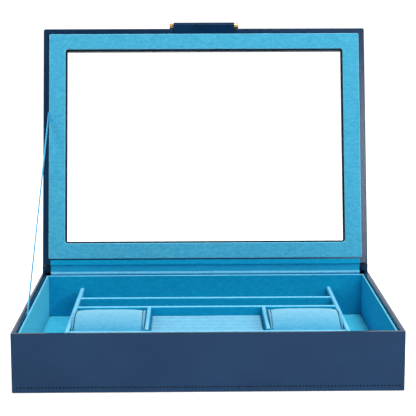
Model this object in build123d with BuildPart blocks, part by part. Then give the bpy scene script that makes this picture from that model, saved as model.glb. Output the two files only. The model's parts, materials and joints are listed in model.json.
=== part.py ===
"""A shallow jewellery box with a glazed lid, in millimetres.

The origin is the middle of the underside, +X runs to the right, +Y to the back and +Z up.
The lid stands open on its stay ribbon, leaning back past upright.
"""

import os
from math import cos, radians, sin

from build123d import *

os.makedirs("parts", exist_ok=True)

# Overall sizes of the case
case_width = 330.0
case_depth = 246.0
rim_height = 51.8
corner_radius = 2.0
edge_radius = 0.5

# Thicknesses of the case's layers
leather = 0.8
wall_board = 2.6
turn_in = 0.6
turn_in_depth = 8.0
spine_board_thickness = 3.2
rear_board_thickness = 4.0
bottom_board_thickness = 5.4
felt = 0.8
felt_inset = 3.0
suede_card = 2.0
floor_card = 1.8
hinge_cloth = 0.5
lining_gap = 0.6
lining_drop = 2.3
ledge_drop = 1.2

# Inner layout, as clear widths between the lined faces
divider = 4.0
divider_height = 28.9
divider_round = 1.4
side_tray_width = 31.8
ring_bay_width = 104.6
rear_slot_depth = 41.0
middle_slot_depth = 32.5
bay_depth = 84.0
butt_gap = 0.1

# Pads
pad_clearance = 0.3
cuff_side_clearance = 0.7
cuff_end_clearance = 2.0
cuff_height = 35.0
cuff_flat_width = 52.0
cuff_shoulder_width = 50.0
cuff_shoulder_drop = 5.6
cuff_end_draw = 0.09
cuff_draw_power = 5
cuff_station_count = 9
roll_count = 7
roll_clearance = 0.4
roll_base_height = 15.0
roll_end_draw = 1.5
roll_end_length = 4.5

# Lid
lid_thickness = 7.0
lid_side_inset = 1.0
lid_overhang = 0.3
lid_seat_gap = 0.2
hinge_gap = 0.6
open_lean = 13.9
panel_thickness = 1.8
panel_side_margin = 6.0
panel_front_margin = 4.9
panel_rear_margin = 6.3
panel_edge_radius = 0.9
panel_corner_radius = 1.5
window_side_margin = 22.6
window_front_margin = 21.4
window_rear_margin = 22.0
window_lip = 1.7
window_corner_radius = 2.5
glass_thickness = 2.0
glass_bearing = 4.1
glass_clearance = 0.4
glass_panel_gap = 0.1
wrap_border = 12.0

# Pull at the lid's front edge
pull_bar_diameter = 6.0
pull_bar_length = 70.4
pull_bar_chamfer = 0.4
pull_tab_width = 63.0
pull_tab_leaf = 15.0
pull_bar_play = 0.05
pull_bar_gap = 0.15
tab_recess_play = 0.3

# Hinge cloth and stay ribbon
spine_return_width = 7.5
hinge_leather_leaf = 9.0
hinge_leather_thickness = 0.5
hinge_cloth_tuck = 5.0
hinge_cloth_slack = 0.9
ribbon_width = 6.0
ribbon_thickness = 0.4
ribbon_case_reach = 76.0
ribbon_lid_reach = 155.5
ribbon_tuck = 6.0
ribbon_panel_gap = 0.8
ribbon_lid_gap = 0.05

# Places that follow from the sizes
wall = leather + wall_board + turn_in
spine = spine_board_thickness + leather
front_y = -case_depth / 2
back_y = case_depth / 2
spine_y = back_y - spine
rear_wall_y = spine_y - rear_board_thickness
half_width = case_width / 2
inner_half_width = half_width - wall
hinge_half_width = half_width - spine_return_width
lining_half_width = inner_half_width - lining_gap - suede_card
front_lining_y = front_y + wall + lining_gap + suede_card
rear_lining_y = rear_wall_y - lining_gap - suede_card
bottom_top = felt + bottom_board_thickness
floor_top = bottom_top + floor_card
lining_top = rim_height - lining_drop
divider_top = floor_top + divider_height
spine_top = rim_height + lid_seat_gap + lid_thickness
board_top = rim_height - leather
ledge_top = rim_height - ledge_drop - hinge_cloth

# Hinge axis and the lid's own plane: x across, y away from the hinge, z from the outer to the inner face
lid_rear_edge = hinge_gap / 2
hinge_y = spine_y - hinge_cloth - hinge_gap / 2
hinge_z = spine_top
lean = radians(open_lean)
lid_plane = Plane(origin=(0, hinge_y, hinge_z), x_dir=(1, 0, 0), z_dir=(0, -cos(lean), sin(lean)))
lid_length = hinge_y - front_y + lid_overhang
lid_half_width = half_width - lid_side_inset
glass_back = lid_thickness - glass_panel_gap - glass_thickness


def lid_profile_plane(x):
    """The plane across the lid at a place along X, with its axes along the lid and through its thickness."""
    origin = lid_plane.from_local_coords((x, 0, 0))
    return Plane(origin=origin, x_dir=lid_plane.y_dir, z_dir=(1, 0, 0))


def lid_point(along, depth):
    """A place on the lid's profile, as Y and Z of the case."""
    y = hinge_y + along * sin(lean) - depth * cos(lean)
    z = hinge_z + along * cos(lean) + depth * sin(lean)
    return (y, z)


def span(low, high):
    """The middle and the length of a stretch."""
    return ((low + high) / 2, high - low)


def block(x_span, y_span, z_span, mode=Mode.ADD):
    """A rectangular slab between three pairs of limits, in the part being built."""
    x_mid, x_size = span(*x_span)
    y_mid, y_size = span(*y_span)
    z_mid, z_size = span(*z_span)
    with Locations((x_mid, y_mid, z_mid)):
        Box(x_size, y_size, z_size, mode=mode)


def lid_block(limits, z_span, mode=Mode.ADD):
    """A slab of the lid, from its half width, its two ends and its depths below the outer face."""
    half, low, high = limits
    middle, length = span(low, high)
    depth, thickness = span(*z_span)
    origin = lid_plane.from_local_coords((0, middle, depth))
    with Locations(Plane(origin=origin, x_dir=lid_plane.x_dir, z_dir=lid_plane.z_dir)):
        Box(2 * half, length, thickness, mode=mode)


def finish(piece, name):
    """Label a finished piece and write its file."""
    piece.part.label = name
    export_step(piece.part, f"parts/{name}.step")


# Boards of the tray
board_half_width = half_width - leather
side_board_inner = board_half_width - wall_board
front_board_back = front_y + leather + wall_board

with BuildPart() as bottom_board:
    block((-side_board_inner, side_board_inner), (front_board_back, rear_wall_y), (felt, bottom_top))
finish(bottom_board, "bottom_board")

with BuildPart() as front_board:
    block((-board_half_width, board_half_width), (front_y + leather, front_board_back), (felt, board_top))
finish(front_board, "front_board")

with BuildPart() as rear_board:
    block((-board_half_width, board_half_width), (rear_wall_y, spine_y), (felt, ledge_top))
finish(rear_board, "rear_board")

with BuildPart() as spine_board:
    block((-board_half_width, board_half_width), (spine_y, back_y - leather), (felt, spine_top - leather))
finish(spine_board, "spine_board")

side_boards = []
for side, name in ((-1, "left_board"), (1, "right_board")):
    with BuildPart() as side_board:
        x_span = sorted((side * side_board_inner, side * board_half_width))
        block(x_span, (front_board_back, rear_wall_y), (felt, board_top))
    finish(side_board, name)
    side_boards.append(side_board)

# Leatherette skin of the case: the outer envelope less its boards and the room inside
with BuildPart() as case_wrap:
    block((-half_width, half_width), (front_y, back_y), (felt, rim_height))
    block((-half_width, half_width), (spine_y, back_y), (rim_height, spine_top))
    uprights = case_wrap.edges().filter_by(Axis.Z).group_by(Axis.Y)
    fillet(uprights[0] + uprights[-1], radius=corner_radius)
    front_rim = case_wrap.faces().filter_by(Axis.Y).sort_by(Axis.Y)[0].edges().sort_by(Axis.Z)[-1]
    back_rim = case_wrap.faces().filter_by(Axis.Y).sort_by(Axis.Y)[-1].edges().sort_by(Axis.Z)[-1]
    fillet([front_rim, back_rim], radius=edge_radius)
    for side in (-1, 1):
        x_span = sorted((side * (half_width - spine_return_width), side * half_width))
        block(x_span, (spine_y - hinge_cloth, spine_y), (rim_height, spine_top))
    inner_span = (-inner_half_width, inner_half_width)
    turn_in_span = (rim_height - turn_in_depth, rim_height)
    block(inner_span, (front_y + wall, rear_wall_y), turn_in_span, Mode.SUBTRACT)
    block(inner_span, (rear_wall_y, spine_y - hinge_cloth), (ledge_top, rim_height), Mode.SUBTRACT)
    under_span = (-hinge_half_width, hinge_half_width)
    block(under_span, (rear_wall_y, spine_y), (ledge_top, rim_height), Mode.SUBTRACT)
    board_span = (-side_board_inner, side_board_inner)
    block(board_span, (front_board_back, rear_wall_y), (felt, rim_height - turn_in_depth), Mode.SUBTRACT)
    for board in (front_board, rear_board, spine_board, *side_boards):
        add(board.part, mode=Mode.SUBTRACT)
finish(case_wrap, "case_wrap")

# Felt sheet that the box rests on
with BuildPart() as base_felt:
    with BuildSketch():
        RectangleRounded(case_width - 2 * felt_inset, case_depth - 2 * felt_inset, corner_radius)
    extrude(amount=felt)
finish(base_felt, "base_felt")

# Suede lining panels
floor_half_width = inner_half_width - lining_gap
with BuildPart() as floor_lining:
    y_limits = (front_y + wall + lining_gap, rear_wall_y - lining_gap)
    block((-floor_half_width, floor_half_width), y_limits, (bottom_top, floor_top))
finish(floor_lining, "floor_lining")

with BuildPart() as front_lining:
    y_limits = (front_lining_y - suede_card, front_lining_y)
    block((-floor_half_width, floor_half_width), y_limits, (floor_top, lining_top))
    fillet(front_lining.edges().filter_by(Axis.X).group_by(Axis.Z)[-1], radius=edge_radius)
finish(front_lining, "front_lining")

with BuildPart() as rear_lining:
    y_limits = (rear_lining_y, rear_lining_y + suede_card)
    block((-floor_half_width, floor_half_width), y_limits, (floor_top, lining_top))
    fillet(rear_lining.edges().filter_by(Axis.X).group_by(Axis.Z)[-1], radius=edge_radius)
finish(rear_lining, "rear_lining")

for side, name in ((-1, "left_lining"), (1, "right_lining")):
    with BuildPart() as side_lining:
        x_span = sorted((side * lining_half_width, side * floor_half_width))
        block(x_span, (front_lining_y, rear_lining_y), (floor_top, lining_top))
        fillet(side_lining.edges().filter_by(Axis.Y).group_by(Axis.Z)[-1], radius=edge_radius)
    finish(side_lining, name)

# Dividers, each with a rounded top edge
tray_divider_outer = lining_half_width - side_tray_width
tray_divider_inner = tray_divider_outer - divider
bay_divider_inner = ring_bay_width / 2
bay_divider_outer = bay_divider_inner + divider
rear_slot_front = rear_lining_y - rear_slot_depth
middle_slot_rear = rear_slot_front - divider
middle_slot_front = middle_slot_rear - middle_slot_depth
bay_rear = middle_slot_front - divider
bay_front = bay_rear - bay_depth

for side, name in ((-1, "left_divider"), (1, "right_divider")):
    with BuildPart() as tray_divider:
        x_span = sorted((side * tray_divider_inner, side * tray_divider_outer))
        block(x_span, (front_lining_y + butt_gap, rear_lining_y - butt_gap), (floor_top, divider_top))
        fillet(tray_divider.edges().filter_by(Axis.Y).group_by(Axis.Z)[-1], radius=divider_round)
    finish(tray_divider, name)

cross_half_width = tray_divider_inner - butt_gap
cross_dividers = (
    ("rear_slot_divider", middle_slot_rear),
    ("front_slot_divider", bay_rear),
    ("front_divider", bay_front - divider),
)
for name, near_y in cross_dividers:
    with BuildPart() as cross_divider:
        block((-cross_half_width, cross_half_width), (near_y, near_y + divider), (floor_top, divider_top))
        fillet(cross_divider.edges().filter_by(Axis.X).group_by(Axis.Z)[-1], radius=divider_round)
    finish(cross_divider, name)

for side, name in ((-1, "left_bay_divider"), (1, "right_bay_divider")):
    with BuildPart() as bay_divider:
        x_span = sorted((side * bay_divider_inner, side * bay_divider_outer))
        block(x_span, (bay_front + butt_gap, bay_rear - butt_gap), (floor_top, divider_top))
        fillet(bay_divider.edges().filter_by(Axis.Y).group_by(Axis.Z)[-1], radius=divider_round)
    finish(bay_divider, name)

# Ring rolls: soft rolls side by side on one base, each drawn in at its ends
roll_half_length = ring_bay_width / 2 - roll_clearance
roll_pitch = (bay_depth - 2 * roll_clearance) / roll_count
roll_radius = roll_pitch / 2
roll_base_z = floor_top + pad_clearance
roll_axis_z = roll_base_z + roll_base_height
with BuildPart() as ring_rolls:
    y_limits = (bay_front + roll_clearance, bay_rear - roll_clearance)
    block((-roll_half_length, roll_half_length), y_limits, (roll_base_z, roll_axis_z))
    for number in range(roll_count):
        roll_y = bay_front + roll_clearance + (number + 0.5) * roll_pitch
        with BuildSketch(Plane(origin=(0, roll_y, roll_axis_z), x_dir=(1, 0, 0), z_dir=(0, -1, 0))):
            with BuildLine():
                crown_end = roll_half_length - roll_end_length
                drawn = roll_radius - roll_end_draw
                Line((-roll_half_length, 0), (-roll_half_length, drawn))
                TangentArc((-crown_end, roll_radius), (-roll_half_length, drawn), tangent=(-1, 0))
                Line((-crown_end, roll_radius), (crown_end, roll_radius))
                TangentArc((crown_end, roll_radius), (roll_half_length, drawn), tangent=(1, 0))
                Line((roll_half_length, drawn), (roll_half_length, 0))
                Line((roll_half_length, 0), (-roll_half_length, 0))
            make_face()
        revolve(axis=Axis((0, roll_y, roll_axis_z), (1, 0, 0)), revolution_arc=360)
finish(ring_rolls, "ring_rolls")

# Watch cuffs: crowned pads that are drawn in towards their two ends
cuff_length = tray_divider_inner - bay_divider_outer - 2 * cuff_side_clearance
cuff_depth = bay_depth - 2 * cuff_end_clearance
cuff_x = (tray_divider_inner + bay_divider_outer) / 2
cuff_y = (bay_front + bay_rear) / 2
cuff_z = floor_top + pad_clearance
cuff_stations = []
for number in range(cuff_station_count):
    place = sin(radians(180 * number / (cuff_station_count - 1) - 90))
    cuff_stations.append((place * cuff_length / 2, 1 - cuff_end_draw * abs(place) ** cuff_draw_power))
for side, name in ((-1, "left_cuff"), (1, "right_cuff")):
    with BuildPart() as cuff:
        for offset, share in cuff_stations:
            half_depth = share * cuff_depth / 2
            half_height = share * cuff_height / 2
            foot = share * cuff_flat_width / 2
            shoulder = share * cuff_shoulder_width / 2
            shoulder_z = half_height - share * cuff_shoulder_drop
            belly_z = -half_height / 3
            origin = (side * cuff_x + offset, cuff_y, cuff_z + cuff_height / 2)
            with BuildSketch(Plane(origin=origin, x_dir=(0, 1, 0), z_dir=(1, 0, 0))):
                with BuildLine():
                    Line((-foot, -half_height), (foot, -half_height))
                    ThreePointArc((foot, -half_height), (half_depth, belly_z), (shoulder, shoulder_z))
                    ThreePointArc((shoulder, shoulder_z), (0, half_height), (-shoulder, shoulder_z))
                    ThreePointArc((-shoulder, shoulder_z), (-half_depth, belly_z), (-foot, -half_height))
                make_face()
        loft(ruled=True)
    finish(cuff, name)

# Lid rails, mitred at the corners, with a rebate for the glass
window_half_width = lid_half_width - window_side_margin
window_front = lid_length - window_front_margin
lip_half_width = window_half_width - window_lip
lip_rear = window_rear_margin + window_lip
lip_front = window_front - window_lip
rail_limits = (lid_half_width - leather, lid_rear_edge + leather, lid_length - leather)
opening_limits = (lip_half_width + leather, lip_rear - leather, lip_front + leather)
rebate_limits = (window_half_width + glass_bearing, window_rear_margin - glass_bearing,
                 window_front + glass_bearing)


def corners(limits):
    """The four corners of a rectangle on the lid, from its half width and its two ends."""
    half, low, high = limits
    return ((-half, low), (half, low), (half, high), (-half, high))


rail_back = lid_thickness - leather
rail_outside = corners(rail_limits)
rail_inside = corners(opening_limits)
rails = []
rail_names = ("lid_rear_rail", "lid_right_rail", "lid_front_rail", "lid_left_rail")
for number, name in enumerate(rail_names):
    after = (number + 1) % len(rail_names)
    with BuildPart() as rail:
        with BuildSketch(lid_plane.offset(leather)):
            with BuildLine():
                Polyline(rail_outside[number], rail_outside[after], rail_inside[after], rail_inside[number],
                         close=True)
            make_face()
        extrude(amount=rail_back - leather)
        lid_block(rebate_limits, (glass_back, lid_thickness), Mode.SUBTRACT)
    finish(rail, name)
    rails.append(rail)

# Glass pane in the rebate
with BuildPart() as window_glass:
    half, low, high = rebate_limits
    pane_limits = (half - glass_clearance, low + glass_clearance, high - glass_clearance)
    lid_block(pane_limits, (glass_back, glass_back + glass_thickness))
finish(window_glass, "window_glass")

# Pull at the lid's front edge: the loop of leather and the bar in it
bar_radius = pull_bar_diameter / 2
loop_radius = bar_radius + pull_bar_play + leather
bar_along = lid_length + pull_bar_gap + bar_radius
bar_depth = lid_thickness - loop_radius
panel_front = lid_length - panel_front_margin
with BuildPart() as pull_tab:
    with BuildSketch(lid_profile_plane(-pull_tab_width / 2)):
        with BuildLine():
            outer_face = bar_depth - loop_radius
            Polyline((bar_along, lid_thickness), (panel_front, lid_thickness), (panel_front, rail_back),
                     (lid_length, rail_back), (lid_length, 0), (lid_length - pull_tab_leaf, 0),
                     (lid_length - pull_tab_leaf, outer_face), (bar_along, outer_face))
            ThreePointArc((bar_along, outer_face), (bar_along + loop_radius, bar_depth),
                          (bar_along, lid_thickness))
        make_face()
        with Locations((bar_along, bar_depth)):
            Circle(bar_radius + pull_bar_play, mode=Mode.SUBTRACT)
    extrude(amount=pull_tab_width)
finish(pull_tab, "pull_tab")

with BuildPart() as pull_bar:
    with BuildSketch(lid_profile_plane(-pull_bar_length / 2)):
        with Locations((bar_along, bar_depth)):
            Circle(bar_radius)
    extrude(amount=pull_bar_length)
    chamfer(pull_bar.edges().filter_by(GeomType.CIRCLE), length=pull_bar_chamfer)
finish(pull_bar, "pull_bar")

# Leatherette skin of the lid: outer face, edges, window edge and a border on the inner face
with BuildPart() as lid_wrap:
    lid_block((lid_half_width, lid_rear_edge, lid_length), (0, lid_thickness))
    lid_uprights = lid_wrap.edges().filter_by(Axis(lid_plane.origin, lid_plane.z_dir))
    fillet(lid_uprights, radius=corner_radius)
    lid_block((lip_half_width, lip_rear, lip_front), (0, lid_thickness), Mode.SUBTRACT)
    lid_block(rebate_limits, (glass_back, lid_thickness), Mode.SUBTRACT)
    half, low, high = rail_limits
    border_limits = (half - wrap_border, low + wrap_border, high - wrap_border)
    lid_block(border_limits, (rail_back, lid_thickness), Mode.SUBTRACT)
    recess_limits = (pull_tab_width / 2 + tab_recess_play, panel_front - tab_recess_play, lid_length)
    lid_block(recess_limits, (rail_back, lid_thickness), Mode.SUBTRACT)
    for rail in rails:
        add(rail.part, mode=Mode.SUBTRACT)
finish(lid_wrap, "lid_wrap")

# Suede frame panel that holds the glass
with BuildPart() as lid_lining:
    panel_middle, panel_length = span(panel_rear_margin, panel_front)
    window_middle, window_height = span(window_rear_margin, window_front)
    with BuildSketch(lid_plane.offset(lid_thickness)):
        with Locations((0, panel_middle)):
            RectangleRounded(2 * (lid_half_width - panel_side_margin), panel_length, panel_corner_radius)
        with Locations((0, window_middle)):
            RectangleRounded(2 * window_half_width, window_height, window_corner_radius, mode=Mode.SUBTRACT)
    extrude(amount=panel_thickness)
    face = lid_lining.faces().sort_by(Axis(lid_plane.origin, lid_plane.z_dir))[-1]
    fillet(face.edges(), radius=panel_edge_radius)
finish(lid_lining, "lid_lining")

# Outer leather of the hinge, folded between the spine's top and the lid's outer face
with BuildPart() as hinge_leather:
    with BuildSketch(Plane.YZ.offset(-lid_half_width + corner_radius)):
        with BuildLine():
            middle = hinge_leather_thickness / 2
            fold = middle * (1 + sin(lean)) / cos(lean)
            Polyline((back_y - leather, spine_top + middle), lid_point(fold, -middle),
                     lid_point(hinge_leather_leaf, -middle))
        trace(line_width=hinge_leather_thickness)
    extrude(amount=2 * (lid_half_width - corner_radius))
finish(hinge_leather, "hinge_leather")

# Inner cloth of the hinge, from under the lid's panel down the spine and over the ledge
with BuildPart() as hinge_lining:
    middle = hinge_cloth / 2
    with BuildSketch(Plane.YZ.offset(-hinge_half_width)):
        with BuildLine():
            Polyline((rear_wall_y - middle, ledge_top - hinge_cloth_tuck),
                     (rear_wall_y - middle, ledge_top + middle),
                     (spine_y - middle, ledge_top + middle),
                     (spine_y - middle, hinge_z - hinge_cloth_slack),
                     lid_point(lid_rear_edge - middle, hinge_cloth_slack),
                     lid_point(lid_rear_edge - middle, lid_thickness + middle),
                     lid_point(panel_rear_margin - ribbon_lid_gap, lid_thickness + middle))
        trace(line_width=hinge_cloth)
    extrude(amount=2 * hinge_half_width)
finish(hinge_lining, "hinge_lining")

# Stay ribbon: taut and flat, from behind the left lining to the edge of the lid's panel
ribbon_case_end = Vector(-inner_half_width + lining_gap / 2, front_y + ribbon_case_reach, lining_top)
panel_edge_x = -(lid_half_width - panel_side_margin)
ribbon_lid_end = Vector(panel_edge_x - ribbon_panel_gap, *lid_point(ribbon_lid_reach, lid_thickness))
ribbon_run = ribbon_lid_end - ribbon_case_end
ribbon_start = ribbon_case_end - ribbon_run.normalized() * ribbon_tuck
with BuildPart() as stay_ribbon:
    with BuildSketch(Plane(origin=ribbon_start, x_dir=(1, 0, 0), z_dir=ribbon_run)):
        Rectangle(ribbon_thickness, ribbon_width)
    extrude(amount=ribbon_run.length + ribbon_tuck + ribbon_width)
    split(bisect_by=lid_plane.offset(lid_thickness + ribbon_lid_gap), keep=Keep.TOP)
finish(stay_ribbon, "stay_ribbon")
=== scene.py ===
"""Jewellery box with a glazed lid: the visual model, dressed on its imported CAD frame.

Every length is in metres and every piece sits in the frame's own coordinates.
"""

import json
import math
from functools import partial

import bmesh
import bpy
from mathutils import Euler, Matrix, Vector


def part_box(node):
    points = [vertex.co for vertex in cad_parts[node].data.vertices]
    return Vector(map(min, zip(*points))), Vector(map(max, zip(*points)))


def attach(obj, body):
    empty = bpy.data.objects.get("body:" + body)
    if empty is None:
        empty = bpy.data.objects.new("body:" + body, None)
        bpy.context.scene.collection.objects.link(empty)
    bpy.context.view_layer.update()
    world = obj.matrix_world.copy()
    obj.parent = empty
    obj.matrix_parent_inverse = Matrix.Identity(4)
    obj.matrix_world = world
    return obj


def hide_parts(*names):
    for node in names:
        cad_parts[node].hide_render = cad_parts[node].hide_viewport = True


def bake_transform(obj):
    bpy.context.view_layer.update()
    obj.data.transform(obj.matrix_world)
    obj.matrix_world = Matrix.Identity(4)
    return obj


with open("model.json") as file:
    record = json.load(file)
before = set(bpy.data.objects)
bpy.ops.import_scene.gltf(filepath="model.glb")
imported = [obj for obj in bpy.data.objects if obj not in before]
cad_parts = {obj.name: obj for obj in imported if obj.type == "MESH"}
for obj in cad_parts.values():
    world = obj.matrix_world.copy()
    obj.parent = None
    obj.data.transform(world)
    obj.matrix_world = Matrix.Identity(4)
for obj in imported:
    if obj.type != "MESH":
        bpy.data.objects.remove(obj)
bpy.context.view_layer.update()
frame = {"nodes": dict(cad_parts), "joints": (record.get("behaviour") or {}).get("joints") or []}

bl_info = {
    "name": "Glazed jewellery box",
    "version": (1, 0, 0),
    "blender": (4, 5, 0),
    "location": "View3D > Sidebar > Jewellery box",
    "description": "Dresses a jewellery box with a glazed lid on its CAD frame",
    "category": "Object",
}

MM = 0.001
MERGE = 0.005 * MM
SAME_PLACE = 0.02 * MM
CORNER = math.radians(30)
HINGE = next(joint for joint in frame["joints"] if joint["name"] == "lid_hinge")
HINGE_Y, HINGE_Z = HINGE["pos_m"][1:]
LEAN = math.radians(HINGE["range_deg"][1] - 90)

# The lid's own axes: across, away from the hinge, and from the outer to the inner face
LID_PLACE = Matrix((
    (1, 0, 0, 0),
    (0, math.sin(LEAN), -math.cos(LEAN), HINGE_Y),
    (0, math.cos(LEAN), math.sin(LEAN), HINGE_Z),
    (0, 0, 0, 1),
))

# Each finish's dark and light tones; some are darker or paler copies of one finish, as painted shade or
# painted light
TONES = {
    "leather": ("Leatherette of the case", "#0A2F52", "#0D365B"),
    # Painted shade: the lid's leather is a darker copy of the case's
    "lid_leather": ("Leatherette of the lid", "#04203C", "#0A2C4C"),
    "thread": ("Sewing thread", "#040913", "#0C1A30"),
    "suede": ("Suede of the linings and dividers", "#0583B0", "#119AC4"),
    # Painted light: the lid's panel is a paler copy of the lining suede
    "lid": ("Suede of the lid's panel", "#2E8DB0", "#4EA8C8"),
    # Painted highlight on rounded edges and on faces that face up
    "edge": ("Suede stretched over an edge", "#5CB6D8", "#80CCE8"),
    # Painted light: the right lining is a paler copy of the lining suede
    "raised": ("Suede of the right lining", "#059CCB", "#12B6E0"),
    # Painted light: the tray floors and the left lining take a paler copy of the lining suede
    "tray": ("Suede of the tray floors", "#2AACCE", "#56CCE4"),
    # Painted highlight: the pads run from this darker tone low down to the paler crest tone above
    "pad": ("Suede low on the pads", "#2086B0", "#3699C0"),
    "crest": ("Suede on the pads' crests", "#80BCD6", "#98CFE4"),
    "cloth": ("Woven hinge cloth", "#14A6D4", "#30BDE8"),
    "ribbon": ("Satin ribbon", "#349FD2", "#58BFEA"),
    "brass": ("Brass", "#7E5F35", "#CDAE78"),
    "board": ("Fibres of the boards", "#8A6B48", "#B89468"),
    "felt": ("Felt", "#0A1524", "#182A40"),
    "paper": ("Paper of the studio floor", "#F0F0F0", "#F4F4F4"),
}


def linear(code):
    """The linear colour of an sRGB hex code."""
    parts = [int(code[start:start + 2], 16) / 255 for start in (1, 3, 5)]
    return tuple(part / 12.92 if part <= 0.04045 else ((part + 0.055) / 1.055) ** 2.4 for part in parts)


def colour(text, code):
    """A colour setting with its default as an sRGB hex code."""
    return bpy.props.FloatVectorProperty(
        name=text, description=text, subtype="COLOR", min=0, max=1, default=linear(code))


def number(text, value, **more):
    """A number setting with its default."""
    return bpy.props.FloatProperty(name=text, description=text, default=value, **more)


def length(text, millimetres):
    """A length setting with its default in millimetres."""
    return number(text, millimetres * MM, unit="LENGTH", subtype="DISTANCE", precision=5, min=0)


class JewelBoxSizes(bpy.types.PropertyGroup):
    """Sizes of the visible pieces that the CAD boxes don't give."""

    wall: length("Width of the rim", 4.0)
    # The painted shade on the rim: the side rims' inner part and the front rim's outer part take the
    # darker, matt leather
    side_sheen: length("Width of the side rims' outer part that keeps its gloss", 1.6)
    front_rub: length("Width of the front rim's outer part that is rubbed", 2.0)
    rim_height: length("Height of the rim over the table", 51.8)
    ledge_depth: length("Depth of the ledge in front of the spine", 4.0)
    ledge_drop: length("Drop from the rim to the leather under the hinge cloth", 1.75)
    spine: length("Thickness of the spine behind the ledge", 4.0)
    spine_return: length("Leather at each end of the spine's front", 7.5)
    spine_cover: length("Thickness of the cover on the spine's front", 0.5)
    case_corner: length("Radius of the case's upright corners", 2.0)
    leather_edge: length("Radius of the leather's folded edges", 0.8)
    leather_thickness: length("Thickness of the pull's leather", 0.8)
    stitch_pitch: length("Distance from stitch to stitch", 3.0)
    stitch_height: length("Height of the seam over the underside", 5.3)
    cloth_inset: length("Leather that shows past each end of the hinge cloth", 1.4)
    roll_reach: length("How far the slack of the hinge cloth rolls out over the lining", 1.5)
    roll_rise: length("Height of that roll over the ledge", 2.5)
    crease: length("How far the hinge cloth tucks in under the lid's edge", 2.2)
    panel_gap: length("Leather that shows between the hinge cloth and the lid's panel", 1.1)
    hinge_leaf: length("Leaf of the hinge leather on the lid", 9.0)
    card_edge: length("Radius on a lining panel's top edge", 0.9)
    tray_cover: length("Thickness of the soft cover on a tray's floor", 1.1)
    tray_gap: length("Gap round that cover", 0.5)
    divider_edge: length("Radius on a divider's top edge", 1.7)
    front_drop: length("How much the front divider's cover stays under the others", 1.2)
    lid_edge: length("Radius along the lid's outer edges", 0.9)
    window_side: length("From the lid's side to the panel's window", 22.6)
    window_front: length("From the lid's front edge to the panel's window", 21.4)
    window_rear: length("From the hinge axis to the panel's window", 22.0)
    window_lip: length("How far the leather lip shows inside the panel's window", 1.7)
    front_lip: length("How far the leather lip shows at the lid's front edge", 2.3)
    window_corner: length("Radius of the panel's window corners", 2.5)
    glass_bearing: length("Width of the rebate that holds the glass", 4.1)
    rebate_depth: length("Depth of the rebate that holds the glass", 2.05)
    panel_trim: length("How far the lid's panel stays behind its place at the front", 0.8)
    panel_edge: length("Radius on the lid panel's edges", 1.2)
    panel_corner: length("Radius of the lid panel's corners", 1.5)
    tab_play: length("Play round the pull in its recess", 0.3)
    roll_count: bpy.props.IntProperty(name="Rolls", description="Number of ring rolls", default=7, min=1)
    cuff_voxel: length("Grid size of the cuff's cloth", 2.4)
    cuff_swell: length("Most that the cuff's cloth may move", 1.6)
    cuff_seam: length("From the piping of a cuff to its stitches", 1.3)
    cuff_stitch: length("Distance from stitch to stitch on a cuff", 2.6)
    piping: length("Radius of the piping at a cuff's ends", 0.6)
    ribbon_width: length("Width of the stay ribbon", 6.0)
    ribbon_thickness: length("Thickness of the stay ribbon", 0.4)
    ribbon_tuck: length("How far the ribbon goes down behind the lining", 6.0)


class JewelBoxColours(bpy.types.PropertyGroup):
    """The two tones of each finish."""

    __annotations__ = {
        f"{key}_{tone}": colour(f"{text}, {tone}", code)
        for key, (text, *codes) in TONES.items() for tone, code in zip(("dark", "light"), codes)}


class JewelBoxStage(bpy.types.PropertyGroup):
    """Camera and light."""

    camera_place: bpy.props.FloatVectorProperty(
        name="Camera", description="Place of the camera", subtype="TRANSLATION", unit="LENGTH",
        default=(-0.0126, -1.1747, 0.3311))
    camera_pitch: number("Downward tilt of the camera", math.radians(9.39), subtype="ANGLE")
    camera_yaw: number("Turn of the camera to the right", math.radians(0.686), subtype="ANGLE")
    camera_roll: number("Tilt of the camera to the right", math.radians(0.187), subtype="ANGLE")
    camera_lens: number("Focal length in millimetres", 112.6, min=10)
    key_power: number("Power of the high softbox", 32.5, unit="POWER", min=0)
    strip_power: number("Power of the narrow softbox beside the camera", 3.1, unit="POWER", min=0)
    side_power: number("Power of the softbox at the right side", 6.0, unit="POWER", min=0)
    fill_power: number("Power of the softbox at the left side", 5.5, unit="POWER", min=0)
    world_level: number("Level of the light from all round", 0.3, min=0)


def sizes():
    """The size settings of this scene."""
    return bpy.context.scene.jewel_box_sizes


def tones(key, low=0.3, high=0.7):
    """The stops of a ramp from a finish's dark tone to its light one."""
    colours = bpy.context.scene.jewel_box_colours
    return (low, getattr(colours, f"{key}_dark")), (high, getattr(colours, f"{key}_light"))


def settings():
    """The stage settings of this scene."""
    return bpy.context.scene.jewel_box_stage


# Helpers for modelling


def deselect():
    """Go to object mode with nothing selected."""
    if bpy.context.mode != "OBJECT":
        bpy.ops.object.mode_set(mode="OBJECT")
    bpy.ops.object.select_all(action="DESELECT")


def activate(*pieces):
    """Select these objects and make the first one the active one."""
    deselect()
    for piece in pieces:
        piece.select_set(True)
    bpy.context.view_layer.objects.active = pieces[0]


def apply_place(*pieces):
    """Move each object's place, turn and scale into its mesh."""
    activate(*pieces)
    bpy.ops.object.transform_apply(location=True, rotation=True, scale=True)


def named(name):
    """Name the object that an operator just made."""
    obj = bpy.context.object
    obj.name = name
    obj.data.name = name
    return obj


def link(name, data):
    """An object of this name for some data, in the scene."""
    obj = bpy.data.objects.new(name, data)
    bpy.context.collection.objects.link(obj)
    return obj


def primitive(kind, name, scale=(1, 1, 1), **values):
    """A primitive with its place, turn and scale in its mesh."""
    deselect()
    getattr(bpy.ops.mesh, f"primitive_{kind}_add")(**values)
    obj = named(name)
    obj.scale = scale
    apply_place(obj)
    return obj


def block(name, low, high):
    """A cube between two corners."""
    low, high = Vector(low), Vector(high)
    return primitive("cube", name, high - low, size=1, location=(low + high) / 2)


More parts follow.
